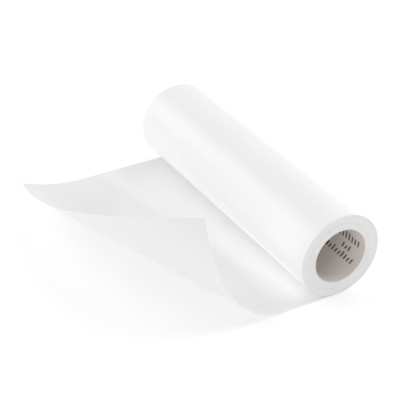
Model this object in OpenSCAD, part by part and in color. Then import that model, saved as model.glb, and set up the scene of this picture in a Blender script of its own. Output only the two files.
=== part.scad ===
// Roll of sign vinyl on a spiral wound paper core, with its loose end pulled out.
//
// Frame: the origin is the middle of the core's bore and +X runs along the bore.
// The roll stands on the plane z = -roll_d / 2. The loose end leaves the roll at
// the bottom, lies on that plane towards -Y, and curls up towards its cut edge,
// more at the +X side than at the -X side.

/* [Core] */
// Diameter of the core's bore
core_bore = 76.2; // [50:0.1:78]
// Wall thickness of the core
core_wall = 9.9; // [4:0.1:11]
// Thickness of the core's printed inner ply
inner_ply = 0.6; // [0.3:0.1:1]
// Thickness of the core's smooth outer ply
outer_ply = 0.5; // [0.3:0.1:1]
// How far the core stands out of the winding at each end
core_proud = 0.5; // [0:0.1:3]

/* [Vinyl] */
// Width of the vinyl
web_w = 432; // [300:1:620]
// Thickness of the vinyl film
film_t = 0.08; // [0.05:0.005:0.15]
// Thickness of the adhesive coat
adhesive_t = 0.025; // [0.02:0.005:0.05]
// Thickness of the release liner
liner_t = 0.145; // [0.09:0.005:0.2]

/* [Winding] */
// Outer diameter of the roll
roll_d = 117.2; // [106:0.1:160]
// Air gap between the slack last turn and the tight turns under it
turn_slack = 0.3; // [0.2:0.05:0.6]
// Angle of the last turn left open beside the line where the web leaves
last_turn_gap = 11; // [10:0.5:20]
// Width round the core of the tape that holds the first turn
tape_w = 25; // [12:1:50]
// Thickness of that tape
tape_t = 0.12; // [0.08:0.01:0.3]
// Distance from the winding's end to the end of the tape
tape_inset = 6; // [2:1:20]

/* [Loose end] */
// Length of the loose end along the +X side
end_near = 285; // [230:1:330]
// Length of the loose end along the -X side
end_far = 261; // [230:1:330]
// How far the cut edge bows out between its two corners
cut_bow = 23; // [0:1:40]
// Length that lies flat along the +X side
flat_near = 81; // [50:1:110]
// Length that lies flat along the -X side
flat_far = 165; // [130:1:210]
// Radius of the curl at the +X side
curl_r_near = 73; // [65:1:100]
// Radius of the curl at the -X side
curl_r_far = 207; // [150:1:260]
// Gap between the flat part and the curl, where the web bends
bend_gap = 0.3; // [0.2:0.05:0.6]

/* [Hidden] */

// Steps round a full circle
$fn = 180;
// Steps of the curl across the web and along it
curl_cols = 14;
curl_rows = 24;

bore_r = core_bore / 2;
core_r = bore_r + core_wall;
core_len = web_w + 2 * core_proud;
roll_r = roll_d / 2;
floor_z = -roll_r;

// Depth of each layer's two faces below the roll's outside
film_in = film_t;
adhesive_in = film_in + adhesive_t;
liner_in = adhesive_in + liner_t;

pack_r = roll_r - liner_in - turn_slack;
tape_angle = tape_w / core_r * 180 / PI;

// The bend is a straight line from the +X side to the -X side. Both directions
// are on the flat web, as [x, distance from the roll].
bend_run = [-web_w, flat_far - flat_near];
bend_along = bend_run / norm(bend_run);
bend_across = [bend_along[1], -bend_along[0]];

// The curl is part of a cone that rests on the bend line. Its tip lies on that line,
// beyond the +X side.
tip_run = norm(bend_run) * curl_r_near / (curl_r_far - curl_r_near);
cone_angle = atan(curl_r_near / tip_run);

// A tube along X
module tube(outer_r, inner_r, len) {
  rotate([0, 90, 0])
    difference() {
      cylinder(r = outer_r, h = len, center = true);
      cylinder(r = inner_r, h = len + 2, center = true);
    }
}

// Part of a tube along X. It starts at the bottom and turns by way of +Y.
module tube_sector(outer_r, inner_r, len, angle) {
  rotate([-90, 0, 0])
    rotate([0, 90, 0])
      rotate([0, 0, 90])
        rotate_extrude(angle = angle)
          translate([inner_r, -len / 2])
            square([outer_r - inner_r, len]);
}

// A layer of the last turn, between two depths below the roll's outside
module turn_layer(depth_out, depth_in) {
  tube_sector(roll_r - depth_out, roll_r - depth_in, web_w, 360 - last_turn_gap);
}

// A layer of the loose end's flat part
module flat_layer(depth_out, depth_in) {
  translate([0, 0, floor_z + depth_out])
    linear_extrude(depth_in - depth_out)
      polygon([
        [web_w / 2, 0],
        [web_w / 2, -(flat_near - bend_gap)],
        [-web_w / 2, -(flat_far - bend_gap)],
        [-web_w / 2, 0]
      ]);
}

// Where a point of the flat web goes once the web has curled up
function curled(x, run, depth) =
  let (
    from_bend = [x - web_w / 2, run - flat_near],
    along = tip_run + from_bend * bend_along,
    across = from_bend * bend_across,
    slant = norm([along, across]),
    turn = atan2(across, along) / sin(cone_angle),
    axial = slant * cos(cone_angle) + depth * sin(cone_angle),
    radius = slant * sin(cone_angle) - depth * cos(cone_angle),
    from_tip = axial * cos(cone_angle) + radius * sin(cone_angle) * cos(turn),
    reach = radius * sin(turn),
    rise = axial * sin(cone_angle) - radius * cos(cone_angle) * cos(turn)
  )
  [
    web_w / 2 + (from_tip - tip_run) * bend_along[0] + reach * bend_across[0],
    -(flat_near + (from_tip - tip_run) * bend_along[1] + reach * bend_across[1]),
    floor_z + rise
  ];

// The same for a share across the web and a share from the bend to the cut edge
function curl_point(col, row, depth) =
  let (
    x = web_w / 2 - web_w * col,
    bend = flat_near + (flat_far - flat_near) * col,
    cut = end_near + (end_far - end_near) * col + cut_bow * 4 * col * (1 - col)
  )
  curled(x, bend + (cut - bend) * row, depth);

// A layer of the curled part, between two depths below its outer face
module curl_layer(depth_out, depth_in) {
  side = curl_rows + 1;
  face = side * (curl_cols + 1);
  points = [
    for (depth = [depth_out, depth_in])
      for (col = [0:curl_cols])
        for (row = [0:curl_rows])
          curl_point(col / curl_cols, row / curl_rows, depth)
  ];
  skins = [
    for (col = [0:curl_cols - 1])
      for (row = [0:curl_rows - 1])
        let (k = col * side + row)
          each [
            [k, k + 1, k + side],
            [k + 1, k + side + 1, k + side],
            [face + k, face + k + side, face + k + 1],
            [face + k + 1, face + k + side, face + k + side + 1]
          ]
  ];
  ends = [
    for (row = [0:curl_rows - 1])
      let (k = curl_cols * side + row)
        each [
          [row, face + row, row + 1],
          [row + 1, face + row, face + row + 1],
          [k, k + 1, face + k],
          [k + 1, face + k + 1, face + k]
        ]
  ];
  edges = [
    for (col = [0:curl_cols - 1])
      let (k = col * side, c = k + curl_rows)
        each [
          [k, k + side, face + k],
          [k + side, face + k + side, face + k],
          [c, face + c, c + side],
          [c + side, face + c, face + c + side]
        ]
  ];
  polyhedron(points, concat(skins, ends, edges), convexity = 4);
}

// White lined paper ply round the bore, which carries the printing
module core_inner_ply() {
  color("gainsboro")
    tube(bore_r + inner_ply, bore_r, core_len);
}

// Kraft board plies, spiral wound and glued
module core_body_plies() {
  color("burlywood")
    tube(core_r - outer_ply, bore_r + inner_ply, core_len);
}

// Smooth paper ply that the vinyl is wound on
module core_outer_ply() {
  color("tan")
    tube(core_r, core_r - outer_ply, core_len);
}

// Double sided tape between the core and the first turn
module start_tape() {
  color("khaki")
    tube_sector(core_r + tape_t, core_r, web_w - 2 * tape_inset, tape_angle);
}

// The tight turns of vinyl, wound face out, round the core and the tape
module wound_turns() {
  color("white")
    difference() {
      tube(pack_r, core_r, web_w);
      tube_sector(core_r + tape_t, core_r - 1, web_w - 2 * tape_inset, tape_angle);
    }
}

module last_turn_liner() {
  color("ivory") turn_layer(adhesive_in, liner_in);
}

module last_turn_adhesive() {
  color("lightyellow") turn_layer(film_in, adhesive_in);
}

module last_turn_film() {
  color("white") turn_layer(0, film_in);
}

module flat_liner() {
  color("ivory") flat_layer(adhesive_in, liner_in);
}

module flat_adhesive() {
  color("lightyellow") flat_layer(film_in, adhesive_in);
}

module flat_film() {
  color("white") flat_layer(0, film_in);
}

module curl_liner() {
  color("ivory") curl_layer(adhesive_in, liner_in);
}

module curl_adhesive() {
  color("lightyellow") curl_layer(film_in, adhesive_in);
}

module curl_film() {
  color("white") curl_layer(0, film_in);
}

core_inner_ply();
core_body_plies();
core_outer_ply();
start_tape();
wound_turns();
last_turn_liner();
last_turn_adhesive();
last_turn_film();
flat_liner();
flat_adhesive();
flat_film();
curl_liner();
curl_adhesive();
curl_film();
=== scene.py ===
# A roll of white sign vinyl on a paper core, with its loose end pulled out on a pale floor.
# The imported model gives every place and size; the sections follow the roll as it is made.
import math
import random

import bmesh
import bpy
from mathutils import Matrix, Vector


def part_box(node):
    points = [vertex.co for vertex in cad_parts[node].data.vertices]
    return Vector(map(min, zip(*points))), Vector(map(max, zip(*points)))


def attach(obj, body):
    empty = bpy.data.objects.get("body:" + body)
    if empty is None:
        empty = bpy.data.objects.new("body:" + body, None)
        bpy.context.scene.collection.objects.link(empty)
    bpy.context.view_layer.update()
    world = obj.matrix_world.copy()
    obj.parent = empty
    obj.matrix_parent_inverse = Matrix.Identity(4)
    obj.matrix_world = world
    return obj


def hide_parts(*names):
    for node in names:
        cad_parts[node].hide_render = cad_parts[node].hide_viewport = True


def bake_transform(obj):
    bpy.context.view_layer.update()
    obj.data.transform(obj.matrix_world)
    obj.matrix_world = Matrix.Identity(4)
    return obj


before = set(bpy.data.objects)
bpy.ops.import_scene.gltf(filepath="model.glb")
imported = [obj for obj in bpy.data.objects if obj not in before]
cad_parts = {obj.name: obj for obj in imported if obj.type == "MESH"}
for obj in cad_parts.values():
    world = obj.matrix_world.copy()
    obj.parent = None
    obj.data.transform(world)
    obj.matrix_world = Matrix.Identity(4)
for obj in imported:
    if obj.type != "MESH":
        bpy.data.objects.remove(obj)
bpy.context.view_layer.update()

# ---------------------------------------------------------------- camera
# A long lens, high over the roll's +X end and to the loose end's side. Its aim and
# distance are in roll radii, from the middle of the core's bore.
turn_low, turn_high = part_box("last_turn_film")
roll_r = turn_high.z
floor_z = turn_low.z
camera_aim = Vector((-2.453, 0.0, -1.819)) * roll_r
camera_distance = 31.75 * roll_r
camera_azimuth = math.radians(60.3)
camera_elevation = math.radians(31.27)
camera_lens = 109.1
camera_sensor = 36.0
camera_reach = 50.0

camera_back = Vector((
    math.sin(camera_azimuth) * math.cos(camera_elevation),
    -math.cos(camera_azimuth) * math.cos(camera_elevation),
    math.sin(camera_elevation),
))
camera_data = bpy.data.cameras.new("camera")
camera_data.sensor_width = camera_sensor
camera_data.lens = camera_lens
camera_data.clip_end = camera_reach
camera = bpy.data.objects.new("camera", camera_data)
camera.location = camera_aim + camera_back * camera_distance
camera.rotation_mode = "QUATERNION"
camera.rotation_quaternion = camera_back.to_track_quat("Z", "Y")
bpy.context.scene.collection.objects.link(camera)
bpy.context.scene.camera = camera

# ---------------------------------------------------------------- floor and light
# A white floor that glows like a light table under a dim white sky. Wide soft lights stand
# all round. Two narrow strips, side by side with the bend and inside the raised curl, fill
# the crease between the roll and its loose end.
sky_strength = 0.16
floor_size = 14.0
floor_gap = 0.00005
# the glow under the roll, the glow far off, and the distances between which it grows
floor_glow, far_glow = 0.28, 0.46
glow_from, glow_to = 0.25, 0.5
view_gamma = 1.5
light_bounces, soft_bounces = 24, 16


def link_mesh(name, bm, smooth_angle=35):
    """Turns a finished bmesh into an object at the origin, smooth but for its sharp edges."""
    mesh = bpy.data.meshes.new(name)
    bm.to_mesh(mesh)
    bm.free()
    mesh.shade_smooth()
    mesh.set_sharp_from_angle(angle=math.radians(smooth_angle))
    piece = bpy.data.objects.new(name, mesh)
    bpy.context.scene.collection.objects.link(piece)
    return piece


def new_material(name, roughness):
    """A material with its nodes, its shader, and a function that adds a node to it."""
    material = bpy.data.materials.new(name)
    material.use_nodes = True
    nodes, links = material.node_tree.nodes, material.node_tree.links
    shader = nodes["Principled BSDF"]
    shader.inputs["Roughness"].default_value = roughness

    def add(kind, inputs=(), **settings):
        node = nodes.new(kind)
        for key, value in settings.items():
            setattr(node, key, value)
        for socket, value in dict(inputs).items():
            if isinstance(value, bpy.types.NodeSocket):
                links.new(value, node.inputs[socket])
            else:
                node.inputs[socket].default_value = value
        return node

    return material, shader, links, add


def floor_material():
    """White board that gives off a little light of its own, more of it far from the roll."""
    material, shader, links, add = new_material("floor_white", 0.9)
    shader.inputs["Specular IOR Level"].default_value = 0.1
    shader.inputs["Base Color"].default_value = (0.78, 0.78, 0.78, 1)
    shader.inputs["Emission Color"].default_value = (1, 1, 1, 1)
    place = add("ShaderNodeTexCoord").outputs["Object"]
    away = add("ShaderNodeVectorMath", {0: place}, operation="LENGTH").outputs["Value"]
    glow = add(
        "ShaderNodeMapRange",
        {0: away, 1: glow_from, 2: glow_to, 3: floor_glow, 4: far_glow},
    )
    links.new(glow.outputs[0], shader.inputs["Emission Strength"])
    return material


bm = bmesh.new()
bmesh.ops.create_grid(bm, x_segments=1, y_segments=1, size=floor_size / 2)
bmesh.ops.translate(bm, verts=bm.verts, vec=(0, 0, floor_z - floor_gap))
floor = link_mesh("floor", bm)
floor.data.materials.append(floor_material())

sky = bpy.data.worlds.new("white_sky")
sky.use_nodes = True
sky.node_tree.nodes["Background"].inputs["Color"].default_value = (1, 1, 1, 1)
sky.node_tree.nodes["Background"].inputs["Strength"].default_value = sky_strength
bpy.context.scene.world = sky
bpy.context.scene.view_settings.view_transform = "Standard"
bpy.context.scene.view_settings.gamma = view_gamma
bpy.context.scene.cycles.max_bounces = light_bounces
bpy.context.scene.cycles.diffuse_bounces = soft_bounces


def soft_light(name, place, aim, size, power, spread=180, glossy=True):
    """A soft rectangle of light, in metres, watts and degrees, that the camera doesn't see."""
    lamp = bpy.data.lights.new(name, "AREA")
    lamp.shape = "RECTANGLE"
    lamp.size, lamp.size_y = size
    lamp.energy = power
    lamp.spread = math.radians(spread)
    light = bpy.data.objects.new(name, lamp)
    light.location = place
    light.rotation_mode = "QUATERNION"
    light.rotation_quaternion = (Vector(place) - Vector(aim)).to_track_quat("Z", "Y")
    light.visible_camera = False
    light.visible_glossy = glossy
    bpy.context.scene.collection.objects.link(light)


soft_light("back_light", (-0.1, 1.7, 0.75), (0, 0, 0), (2.0, 1.0), 21)
soft_light("high_light", (0.2, 1.2, 1.7), (0, 0, 0), (1.2, 0.8), 12)
soft_light("left_light", (-1.7, -1.2, 0.9), (0, 0, 0), (1.6, 1.2), 23)
soft_light("front_light", (1.3, -1.4, 0.9), (0, 0, 0), (1.6, 1.2), 9)
soft_light("top_light", (0, -0.3, 1.8), (0, 0, 0), (2.4, 1.6), 10)
soft_light("right_light", (1.8, 0.3, 0.6), (0, 0, 0), (1.2, 1.0), 2)
soft_light(
    "web_fill", (0, -0.126, 0.03), (-0.013, -0.06, -0.045), (0.42, 0.05), 0.02,
    glossy=False,
)
soft_light(
    "foot_fill", (0, -0.106, -0.038), (-0.0145, -0.0315, -0.049), (0.42, 0.022), 0.021,
    spread=100, glossy=False,
)

# ---------------------------------------------------------------- core, inner ply
# Grey paper lining of the tube, the first strip on the mandrel. Its butt joint runs
# round the bore as a spiral.
_, inner_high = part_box("core_inner_ply")
core_end = inner_high.x
core_steps = 180
inner_ply_t = 0.0006
bore_r = inner_high.z - inner_ply_t
# how far the joint runs along the bore in a turn, and the share of that which it is wide
joint_pitch = 0.142
joint_share = 0.004


def spun(name, profile, steps):
    """Spins a closed outline of (x, radius) points round the X axis."""
    bm = bmesh.new()
    ring = [bm.verts.new((x, 0, r)) for x, r in profile]
    edges = [bm.edges.new((ring[k - 1], ring[k])) for k in range(len(ring))]
    bmesh.ops.spin(
        bm, geom=ring + edges, cent=(0, 0, 0), axis=(1, 0, 0),
        angle=2 * math.pi, steps=steps, use_merge=True,
    )
    bmesh.ops.remove_doubles(bm, verts=bm.verts, dist=1e-7)
    bmesh.ops.recalc_face_normals(bm, faces=bm.faces)
    return link_mesh(name, bm)


def tube_outline(inner_r, outer_r, end, bevel):
    """The outline of a tube's wall with its four corners taken off."""
    return [
        (-end + bevel, inner_r), (end - bevel, inner_r),
        (end, inner_r + bevel), (end, outer_r - bevel),
        (end - bevel, outer_r), (-end + bevel, outer_r),
        (-end, outer_r - bevel), (-end, inner_r + bevel),
    ]


def turn_and_radius(add):
    """Node outputs for the share of a turn round the X axis, the radius, and x."""
    place = add("ShaderNodeTexCoord").outputs["Object"]
    x, y, z = add("ShaderNodeSeparateXYZ", {0: place}).outputs
    turn = add("ShaderNodeMath", {0: z, 1: y}, operation="ARCTAN2")
    turn = add("ShaderNodeMath", {0: turn.outputs[0], 1: 2 * math.pi}, operation="DIVIDE")
    flat = add("ShaderNodeCombineXYZ", {1: y, 2: z})
    radius = add("ShaderNodeVectorMath", {0: flat.outputs[0]}, operation="LENGTH")
    return turn.outputs[0], radius.outputs["Value"], x


def lining_material():
    """Grey paper with fibres, a little tone from place to place, and the spiral joint."""
    material, shader, links, add = new_material("core_lining", 0.85)
    turn, _, x = turn_and_radius(add)
    along = add("ShaderNodeMath", {0: x, 1: joint_pitch}, operation="DIVIDE")
    along = add("ShaderNodeMath", {0: along.outputs[0], 1: turn}, operation="ADD")
    share = add("ShaderNodeMath", {0: along.outputs[0]}, operation="FRACT")
    joint = add("ShaderNodeMath", {0: share.outputs[0], 1: joint_share}, operation="LESS_THAN")
    place = add("ShaderNodeTexCoord").outputs["Object"]
    fibres = add("ShaderNodeTexNoise", {"Vector": place, "Scale": 900, "Detail": 4})
    clouds = add("ShaderNodeTexNoise", {"Vector": place, "Scale": 40, "Detail": 3})
    tone = add("ShaderNodeMath", {0: fibres.outputs[0], 1: clouds.outputs[0]}, operation="ADD")
    ramp = add("ShaderNodeValToRGB", {0: tone.outputs[0]})
    ramp.color_ramp.elements[0].position = 0.6
    ramp.color_ramp.elements[0].color = (0.57, 0.515, 0.475, 1)
    ramp.color_ramp.elements[1].position = 1.0
    ramp.color_ramp.elements[1].color = (0.65, 0.59, 0.555, 1)
    joint_colour = (0.45, 0.40, 0.36, 1)
    dark = add(
        "ShaderNodeMix",
        {0: joint.outputs[0], 6: ramp.outputs[0], 7: joint_colour},
        data_type="RGBA",
    )
    links.new(dark.outputs[2], shader.inputs["Base Color"])
    bump = add(
        "ShaderNodeBump",
        {"Strength": 0.25, "Distance": 0.0002, "Height": fibres.outputs[0]},
    )
    links.new(bump.outputs[0], shader.inputs["Normal"])
    shader.inputs["Specular IOR Level"].default_value = 0.25
    return material


core_lining = spun(
    "core_lining", tube_outline(bore_r, inner_high.z, core_end, bevel=0.00015), core_steps
)
core_lining.data.materials.append(lining_material())
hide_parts("core_inner_ply")
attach(core_lining, "roll")

# ---------------------------------------------------------------- core, batch marks
# Rows of plain black bars printed along the bore, which stand for the core's printing.
# The ink lies on the lining and follows its curve.
ink_t = 0.00003
bar_w = 0.0032
bar_pitch = 0.0066
bar_slant = 0.25
# each row's middle and height as angles, its depth in the bore, and its number of bars
mark_rows = [(-42, 13, 0.014, 9), (-25, 11, 0.028, 3), (-1, 20, 0.014, 7)]
# each group's further depth in the bore, and how far round it is turned
mark_groups = [(0.0, 0), (0.135, 137), (0.27, -95)]


def bar(bm, x, middle, height):
    """One bar across the bore's curve: x and the middle and height as angles in degrees."""
    made = bmesh.ops.create_grid(bm, x_segments=1, y_segments=5, size=0.5)["verts"]
    for v in made:
        angle = math.radians(middle + v.co.y * height)
        slant = v.co.y * bar_w * bar_slant
        r = bore_r - ink_t
        v.co = Vector((x + v.co.x * bar_w + slant, r * math.cos(angle), r * math.sin(angle)))


def ink_material():
    """Black ink, worn a little thin in places."""
    material, shader, links, add = new_material("mark_ink", 0.6)
    place = add("ShaderNodeTexCoord").outputs["Object"]
    wear = add("ShaderNodeTexNoise", {"Vector": place, "Scale": 700, "Detail": 2})
    ramp = add("ShaderNodeValToRGB", {0: wear.outputs[0]})
    ramp.color_ramp.elements[0].position = 0.35
    ramp.color_ramp.elements[0].color = (0.02, 0.018, 0.018, 1)
    ramp.color_ramp.elements[1].position = 0.75
    ramp.color_ramp.elements[1].color = (0.09, 0.08, 0.07, 1)
    links.new(ramp.outputs[0], shader.inputs["Base Color"])
    return material


bm = bmesh.new()
dice = random.Random(7)
for depth, turned in mark_groups:
    for middle, height, first, count in mark_rows:
        for k in range(count):
            tall = height * dice.choice((0.7, 0.85, 1.0))
            low = middle + turned - (height - tall) / 2
            bar(bm, core_end - first - depth - k * bar_pitch, low, tall)
bmesh.ops.recalc_face_normals(bm, faces=bm.faces)
core_marks = link_mesh("core_marks", bm)
core_marks.data.materials.append(ink_material())
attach(core_marks, "roll")

# ---------------------------------------------------------------- core, body plies
# The tube's wall: many strips of board, glued and wound in a spiral, cut square at the
# ends so that each strip shows as a fine ring.
_, outer_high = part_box("core_outer_ply")
outer_ply_t = 0.0005
# the share of each ply that its glue line takes, and how much darker the line is
ply_line = 0.22
line_dark = 0.25


def board_material(name, low_colour, high_colour, ring_pitch):
    """Cut board: a line for each ply, fibres, and a slow change of tone round the ring."""
    material, shader, links, add = new_material(name, 0.8)
    turn, radius, _ = turn_and_radius(add)
    rings = add("ShaderNodeMath", {0: radius, 1: 1 / ring_pitch}, operation="MULTIPLY")
    rings = add("ShaderNodeMath", {0: rings.outputs[0], 1: turn}, operation="ADD")
    share = add("ShaderNodeMath", {0: rings.outputs[0]}, operation="FRACT")
    line = add("ShaderNodeMath", {0: share.outputs[0], 1: ply_line}, operation="LESS_THAN")
    place = add("ShaderNodeTexCoord").outputs["Object"]
    fibres = add("ShaderNodeTexNoise", {"Vector": place, "Scale": 1400, "Detail": 5})
    clouds = add("ShaderNodeTexNoise", {"Vector": place, "Scale": 60, "Detail": 2})
    tone = add("ShaderNodeMath", {0: fibres.outputs[0], 1: clouds.outputs[0]}, operation="ADD")
    tone = add(
        "ShaderNodeMath",
        {0: line.outputs[0], 1: -line_dark, 2: tone.outputs[0]},
        operation="MULTIPLY_ADD",
    )
    ramp = add("ShaderNodeValToRGB", {0: tone.outputs[0]})
    ramp.color_ramp.elements[0].position = 0.55
    ramp.color_ramp.elements[0].color = low_colour
    ramp.color_ramp.elements[1].position = 1.0
    ramp.color_ramp.elements[1].color = high_colour
    links.new(ramp.outputs[0], shader.inputs["Base Color"])
    bump = add(
        "ShaderNodeBump",
        {"Strength": 0.3, "Distance": 0.0002, "Height": tone.outputs[0]},
    )
    links.new(bump.outputs[0], shader.inputs["Normal"])
    shader.inputs["Specular IOR Level"].default_value = 0.2
    return material


core_body = spun(
    "core_body",
    tube_outline(inner_high.z, outer_high.z - outer_ply_t, core_end, bevel=0.0001),
    core_steps,
)
core_body.data.materials.append(
    board_material(
        "core_board", (0.66, 0.645, 0.63, 1), (0.76, 0.745, 0.73, 1), ring_pitch=0.00055
    )
)
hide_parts("core_body_plies")
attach(core_body, "roll")

# ---------------------------------------------------------------- core, outer ply
# A smoother, paler strip of paper, glued on last, so that no ridge of the board marks the
# first turns of vinyl.
core_skin = spun(
    "core_skin",
    tube_outline(outer_high.z - outer_ply_t, outer_high.z, core_end, bevel=0.00012),
    core_steps,
)
core_skin.data.materials.append(
    board_material(
        "core_paper", (0.68, 0.665, 0.65, 1), (0.78, 0.765, 0.75, 1), ring_pitch=0.0005
    )
)
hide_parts("core_outer_ply")
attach(core_skin, "roll")

# ---------------------------------------------------------------- start tape
# Double sided tape, yellowish with adhesive, that holds the vinyl's first edge to the core.
# The winding shuts it in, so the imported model's own strip is kept and only given its finish.


def tape_material():
    """Pale yellow adhesive with small blisters."""
    material, shader, links, add = new_material("start_tape", 0.5)
    place = add("ShaderNodeTexCoord").outputs["Object"]
    spots = add("ShaderNodeTexVoronoi", {"Vector": place, "Scale": 500})
    ramp = add("ShaderNodeValToRGB", {0: spots.outputs[0]})
    ramp.color_ramp.elements[0].color = (0.62, 0.57, 0.40, 1)
    ramp.color_ramp.elements[1].color = (0.78, 0.74, 0.58, 1)
    links.new(ramp.outputs[0], shader.inputs["Base Color"])
    return material


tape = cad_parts["start_tape"]
tape.data.materials.clear()
tape.data.materials.append(tape_material())

# ---------------------------------------------------------------- tight turns
# Some forty turns of film and liner, slit square, so that their edges make one flat ring
# with turns that stand out or in by a hair.
_, wound_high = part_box("wound_turns")
wound_end = wound_high.x
wound_r = wound_high.z
turn_steps = 160
# one turn's thickness, the share of it left open as a groove at each side, the share of it
# that is film, and how much brighter the film is than the liner
layer_t = 0.00025
turn_groove = 0.06
film_share = 0.35
film_bright = 0.25
# how far a turn may stand off from the one under it, and how much of that is carried on
turn_stagger = 0.00012
turn_drift = 0.7


def wound_outline():
    """The winding's wall, with a step for each turn at both ends."""
    dice = random.Random(21)
    turns = round((wound_r - outer_high.z) / layer_t)
    pitch = (wound_r - outer_high.z) / turns
    drift = 0.0
    steps = []
    for k in range(turns):
        drift = turn_drift * drift + dice.uniform(-1, 1) * turn_stagger
        end = wound_end - abs(drift)
        steps.append((end, outer_high.z + pitch * (k + turn_groove)))
        steps.append((end, outer_high.z + pitch * (k + 1 - turn_groove)))
    return steps + [(-x, r) for x, r in reversed(steps)]


def wound_material():
    """Slit edges: thin bright film and duller liner by turns, with soft bands of tone."""
    material, shader, links, add = new_material("wound_edges", 0.5)
    turn, radius, _ = turn_and_radius(add)
    rings = add("ShaderNodeMath", {0: radius, 1: 1 / layer_t}, operation="MULTIPLY")
    rings = add("ShaderNodeMath", {0: rings.outputs[0], 1: turn}, operation="ADD")
    share = add("ShaderNodeMath", {0: rings.outputs[0]}, operation="FRACT")
    film = add("ShaderNodeMath", {0: share.outputs[0], 1: film_share}, operation="LESS_THAN")
    bands = add("ShaderNodeCombineXYZ", {0: rings.outputs[0]})
    bands = add("ShaderNodeTexNoise", {"Vector": bands.outputs[0], "Scale": 0.35, "Detail": 4})
    tone = add(
        "ShaderNodeMath",
        {0: film.outputs[0], 1: film_bright, 2: bands.outputs[0]},
        operation="MULTIPLY_ADD",
    )
    ramp = add("ShaderNodeValToRGB", {0: tone.outputs[0]})
    ramp.color_ramp.elements[0].position = 0.3
    ramp.color_ramp.elements[0].color = (0.70, 0.70, 0.705, 1)
    ramp.color_ramp.elements[1].position = 0.9
    ramp.color_ramp.elements[1].color = (0.84, 0.84, 0.84, 1)
    links.new(ramp.outputs[0], shader.inputs["Base Color"])
    return material


winding = spun("winding", wound_outline(), turn_steps)
winding.data.materials.append(wound_material())
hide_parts("wound_turns")
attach(winding, "roll")

# ---------------------------------------------------------------- liner
# The release liner, white paper with a silicone coat, lies inside the film. It comes off
# the roll at the bottom, lies flat, then curls up towards the cut edge, as it was wound.
film_t = 0.00008
adhesive_t = 0.000025
liner_t = 0.000145
web_w = turn_high.x - turn_low.x
# how far the web runs from the roll to its cut edge, at its +X side and at its -X side, and
# how far that edge bows out between them
end_near, end_far, cut_bow = 0.285, 0.261, 0.023
# how far it runs to the bend, and the radius to which it then curls, at the same two sides
flat_near, flat_far = 0.081, 0.165
curl_r_near, curl_r_far = 0.073, 0.207
# how far the last turn's inner end draws in, and the turn over which it does so
tuck = 0.00028
tuck_from, tuck_over = 0.6 * math.pi, 1.4 * math.pi
turn_rows, flat_rows, curl_rows = 150, 26, 64
web_rows = turn_rows + flat_rows + curl_rows
web_cols = 60
bend_run = Vector((-web_w, flat_far - flat_near))
bend_along = bend_run.normalized()
bend_across = Vector((bend_along.y, -bend_along.x))

# The curl is part of a cone that rests on the bend line, with its tip beyond the +X side.
tip_run = bend_run.length * curl_r_near / (curl_r_far - curl_r_near)
cone_angle = math.atan(curl_r_near / tip_run)
cone_sin, cone_cos = math.sin(cone_angle), math.cos(cone_angle)


def wound_place(x, share, depth):
    """A point of the last turn, from its inner end at share 0 to the line where it leaves."""
    turn = 2 * math.pi * (1 - share)
    inward = min(1.0, max(0.0, (turn - tuck_from) / tuck_over))
    r = roll_r - depth - tuck * inward * inward * (3 - 2 * inward)
    return Vector((x, r * math.sin(turn), -r * math.cos(turn)))


def curled_place(x, run, depth):
    """A point of the loose end, run metres from the roll, once it has curled up."""
    from_bend = Vector((x - web_w / 2, run - flat_near))
    along, across = tip_run + from_bend.dot(bend_along), from_bend.dot(bend_across)
    if across <= 0:
        return Vector((x, -run, floor_z + depth))
    slant = math.hypot(along, across)
    turn = math.atan2(across, along) / cone_sin
    axial = slant * cone_cos + depth * cone_sin
    radius = slant * cone_sin - depth * cone_cos
    from_near = axial * cone_cos + radius * cone_sin * math.cos(turn) - tip_run
    reach = radius * math.sin(turn)
    return Vector((
        web_w / 2 + from_near * bend_along.x + reach * bend_across.x,
        -(flat_near + from_near * bend_along.y + reach * bend_across.y),
        floor_z + axial * cone_sin - radius * cone_cos * math.cos(turn),
    ))


def web_place(col, row, depth):
    """A point of the web, with its own (x, run) on the flat sheet. Shares go from 0 to 1."""
    x = web_w / 2 - web_w * col
    bend = flat_near + (flat_far - flat_near) * col
    cut = end_near + (end_far - end_near) * col + cut_bow * 4 * col * (1 - col)
    k = row * web_rows
    if k < turn_rows:
        share = k / turn_rows
        return wound_place(x, share, depth), (x, (share - 1) * 2 * math.pi * roll_r)
    if k < turn_rows + flat_rows:
        run = bend * (k - turn_rows) / flat_rows
    else:
        run = bend + (cut - bend) * (k - turn_rows - flat_rows) / curl_rows
    return curled_place(x, run, depth), (x, run)


def web_layer(name, depth, thickness):
    """One layer of the web: its outer face, given its thickness inwards."""
    bm = bmesh.new()
    bmesh.ops.create_grid(bm, x_segments=web_cols, y_segments=web_rows, size=0.5)
    flat = bm.loops.layers.uv.new("web")
    spots = {}
    for v in bm.verts:
        row = round((v.co.y + 0.5) * web_rows) / web_rows
        v.co, spots[v] = web_place(0.5 - v.co.x, row, depth)
    for face in bm.faces:
        for loop in face.loops:
            loop[flat].uv = spots[loop.vert]
    bm.normal_update()
    bmesh.ops.solidify(bm, geom=bm.faces, thickness=thickness)
    return link_mesh(name, bm, smooth_angle=50)


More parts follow.
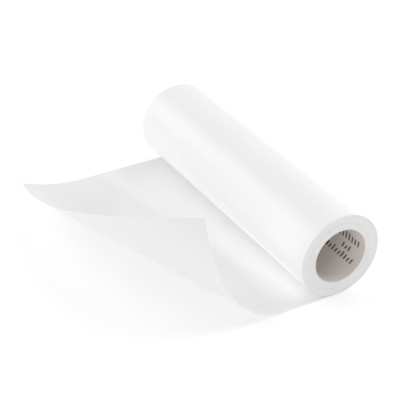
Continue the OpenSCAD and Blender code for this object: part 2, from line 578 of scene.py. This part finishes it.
def web_material(name, colour, roughness, grain, grain_scale, bump_depth):
    """Coated sheet: an even tone with faint clouds and a fine grain, along the web."""
    material, shader, links, add = new_material(name, roughness)
    place = add("ShaderNodeUVMap", uv_map="web").outputs[0]
    clouds = add("ShaderNodeTexNoise", {"Vector": place, "Scale": 9, "Detail": 3})
    fine = add("ShaderNodeTexNoise", {"Vector": place, "Scale": grain_scale, "Detail": 4})
    tone = add("ShaderNodeMath", {0: clouds.outputs[0], 1: fine.outputs[0]}, operation="ADD")
    ramp = add("ShaderNodeValToRGB", {0: tone.outputs[0]})
    ramp.color_ramp.elements[0].position = 0.7
    ramp.color_ramp.elements[0].color = (*(c * (1 - grain) for c in colour), 1)
    ramp.color_ramp.elements[1].position = 1.0
    ramp.color_ramp.elements[1].color = (*colour, 1)
    links.new(ramp.outputs[0], shader.inputs["Base Color"])
    bump = add(
        "ShaderNodeBump",
        {"Strength": 0.15, "Distance": bump_depth, "Height": fine.outputs[0]},
    )
    links.new(bump.outputs[0], shader.inputs["Normal"])
    return material


def fit_web(piece, layer):
    """Hides the layer's CAD nodes and bakes the piece's place into its mesh."""
    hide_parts("last_turn_" + layer, "flat_" + layer, "curl_" + layer)
    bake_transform(piece)


liner = web_layer("liner", film_t + adhesive_t, liner_t)
liner.data.materials.append(
    web_material(
        "liner_paper", (0.81, 0.81, 0.81), roughness=0.5,
        grain=0.03, grain_scale=1500, bump_depth=0.0001,
    )
)
fit_web(liner, "liner")

# ---------------------------------------------------------------- adhesive
# A clear coat of pressure sensitive adhesive on the film's inner side, which shows only
# as a hair line at the slit edges.
adhesive = web_layer("adhesive", film_t, adhesive_t)
adhesive.data.materials.append(
    web_material(
        "clear_adhesive", (0.80, 0.78, 0.72), roughness=0.35,
        grain=0.05, grain_scale=700, bump_depth=0.00005,
    )
)
fit_web(adhesive, "adhesive")

# ---------------------------------------------------------------- film
# The white vinyl itself, calendered smooth, on the outside of the roll. It is laid on the
# adhesive across its whole width and slit to size with it.
film = web_layer("film", 0, film_t)
film.data.materials.append(
    web_material(
        "white_vinyl", (0.865, 0.865, 0.865), roughness=0.42,
        grain=0.02, grain_scale=2400, bump_depth=0.00004,
    )
)
fit_web(film, "film")
